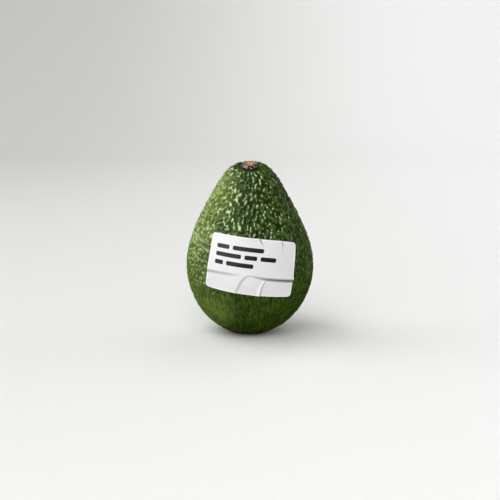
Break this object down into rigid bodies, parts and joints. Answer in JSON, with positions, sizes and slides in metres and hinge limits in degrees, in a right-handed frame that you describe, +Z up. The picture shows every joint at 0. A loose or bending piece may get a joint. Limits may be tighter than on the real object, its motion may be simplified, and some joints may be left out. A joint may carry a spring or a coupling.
{
  "type": "avocado",
  "caption": "Pear-shaped whole fruit with pebbled green skin, a dried stem button and a plain paper label, standing upright on the small flat spot at its blossom end.",
  "frame": {"origin": "on the surface that the fruit stands on, under the middle of the object's box", "axes": "+Z up through the stem end, -Y to the front, where the label is and where the crown nods, +X to the right seen from the front"},
  "size_m": [0.0698, 0.0688, 0.0962],
  "materials": {
    "avocado_skin": "pebbled, waxy, mottled green",
    "stem_wood": "dry, rough, cut stub",
    "label_paper": "smooth coated paper, lightly creased, with printed bars"
  },
  "bodies": {
    "root": {"avocado_fruit": "avocado_skin", "stem_button": "stem_wood", "paper_label": "label_paper"}
  },
  "joints": []
}
